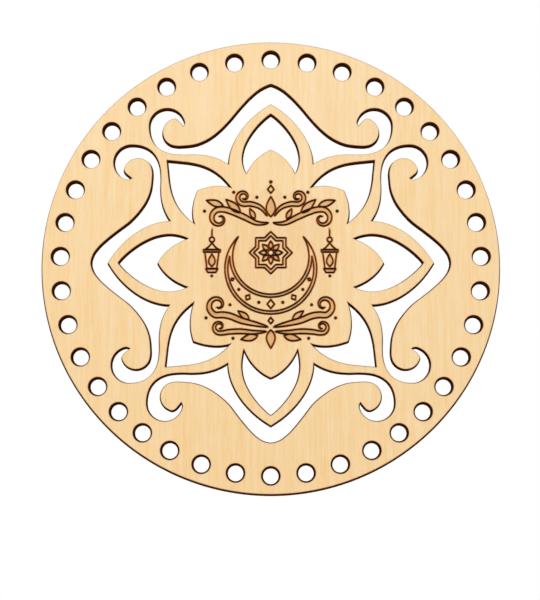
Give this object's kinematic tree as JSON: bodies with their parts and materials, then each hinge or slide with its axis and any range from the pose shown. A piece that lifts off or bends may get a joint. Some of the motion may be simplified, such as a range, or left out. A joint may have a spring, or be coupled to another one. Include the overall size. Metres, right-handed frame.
{
  "type": "wooden wall plaque",
  "caption": "Round plywood wall plaque with petal and scroll fretwork round a carved medallion, and lacing holes along its rim.",
  "frame": {"origin": "centre of the disc's back face", "axes": "+Z towards the plaque's top lacing hole, +Y out of the back face towards the wall, the carved front faces -Y"},
  "size_m": [0.3, 0.006, 0.3],
  "materials": {
    "face_veneer": "unvarnished pale veneer, sanded, scorched at its cut edges",
    "inner_ply": "laser-cut edge, charred dark brown"
  },
  "bodies": {
    "root": {"back_veneer": "face_veneer", "back_crossband": "inner_ply", "core_ply": "inner_ply", "front_crossband": "inner_ply", "front_veneer": "face_veneer"}
  },
  "joints": []
}
